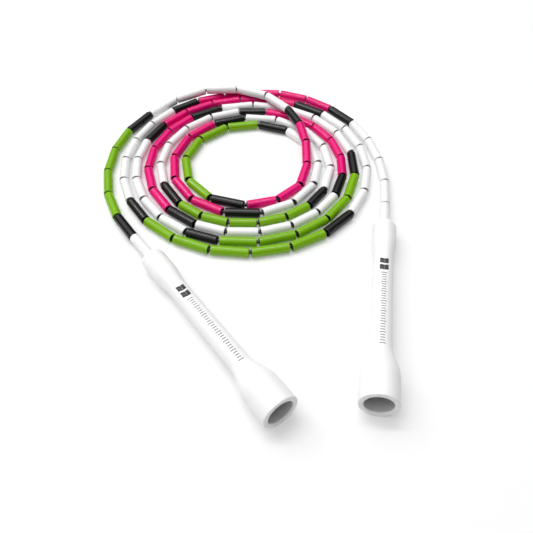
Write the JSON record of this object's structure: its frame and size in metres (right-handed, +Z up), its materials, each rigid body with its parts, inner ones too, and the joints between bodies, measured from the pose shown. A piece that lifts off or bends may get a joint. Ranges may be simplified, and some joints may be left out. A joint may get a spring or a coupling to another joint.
{
  "type": "beaded jump rope",
  "caption": "Segmented skipping rope with hollow plastic beads in coloured blocks on one cord, knotted into two spinning flared handles, laid down in a flat coil",
  "frame": {"origin": "Middle of the two handles' bounding box, on the floor that the rope lies on", "axes": "+X to the right as the user sees it with the handles near, +Y away from the handles towards the coil, +Z up"},
  "size_m": [0.2162, 0.3222, 0.0229],
  "materials": {
    "handle_plastic": "satin, one-piece moulding",
    "white_bead_plastic": "smooth semi-gloss",
    "green_bead_plastic": "smooth semi-gloss",
    "pink_bead_plastic": "smooth semi-gloss",
    "black_bead_plastic": "smooth semi-gloss",
    "washer_plastic": "plain nylon",
    "cord_jacket": "shiny vinyl jacket"
  },
  "bodies": {
    "rope": {"black_beads_02": "black_bead_plastic", "black_beads_04": "black_bead_plastic", "black_beads_06": "black_bead_plastic", "black_beads_08": "black_bead_plastic", "black_beads_10": "black_bead_plastic", "black_beads_12": "black_bead_plastic", "black_beads_14": "black_bead_plastic", "black_beads_16": "black_bead_plastic", "black_beads_18": "black_bead_plastic", "black_beads_20": "black_bead_plastic", "black_beads_22": "black_bead_plastic", "black_beads_24": "black_bead_plastic", "black_beads_26": "black_bead_plastic", "black_beads_28": "black_bead_plastic", "black_beads_30": "black_bead_plastic", "black_beads_32": "black_bead_plastic", "black_beads_34": "black_bead_plastic", "black_beads_36": "black_bead_plastic", "black_beads_38": "black_bead_plastic", "black_beads_40": "black_bead_plastic", "black_beads_42": "black_bead_plastic", "cord": "cord_jacket", "green_beads_03": "green_bead_plastic", "green_beads_09": "green_bead_plastic", "green_beads_17": "green_bead_plastic", "green_beads_29": "green_bead_plastic", "green_beads_37": "green_bead_plastic", "left_stop_knot": "cord_jacket", "left_stop_washer": "washer_plastic", "pink_beads_07": "pink_bead_plastic", "pink_beads_13": "pink_bead_plastic", "pink_beads_21": "pink_bead_plastic", "pink_beads_25": "pink_bead_plastic", "pink_beads_33": "pink_bead_plastic", "pink_beads_41": "pink_bead_plastic", "right_stop_knot": "cord_jacket", "right_stop_washer": "washer_plastic", "white_beads_01": "white_bead_plastic", "white_beads_05": "white_bead_plastic", "white_beads_11": "white_bead_plastic", "white_beads_15": "white_bead_plastic", "white_beads_19": "white_bead_plastic", "white_beads_23": "white_bead_plastic", "white_beads_27": "white_bead_plastic", "white_beads_31": "white_bead_plastic", "white_beads_35": "white_bead_plastic", "white_beads_39": "white_bead_plastic", "white_beads_43": "white_bead_plastic"},
    "left_handle": {"left_handle": "handle_plastic"},
    "right_handle": {"right_handle": "handle_plastic"}
  },
  "joints": [
    {"name": "left_handle_spin", "type": "hinge", "parent": "rope", "child": "left_handle", "pos_m": [-0.07634, 0.04057, 0.00811], "axis": [0.5911, -0.8062, 0.0266], "continuous": true},
    {"name": "right_handle_spin", "type": "hinge", "parent": "rope", "child": "right_handle", "pos_m": [0.07582, 0.06916, 0.00811], "axis": [-0.1564, -0.9873, 0.0266], "continuous": true}
  ]
}
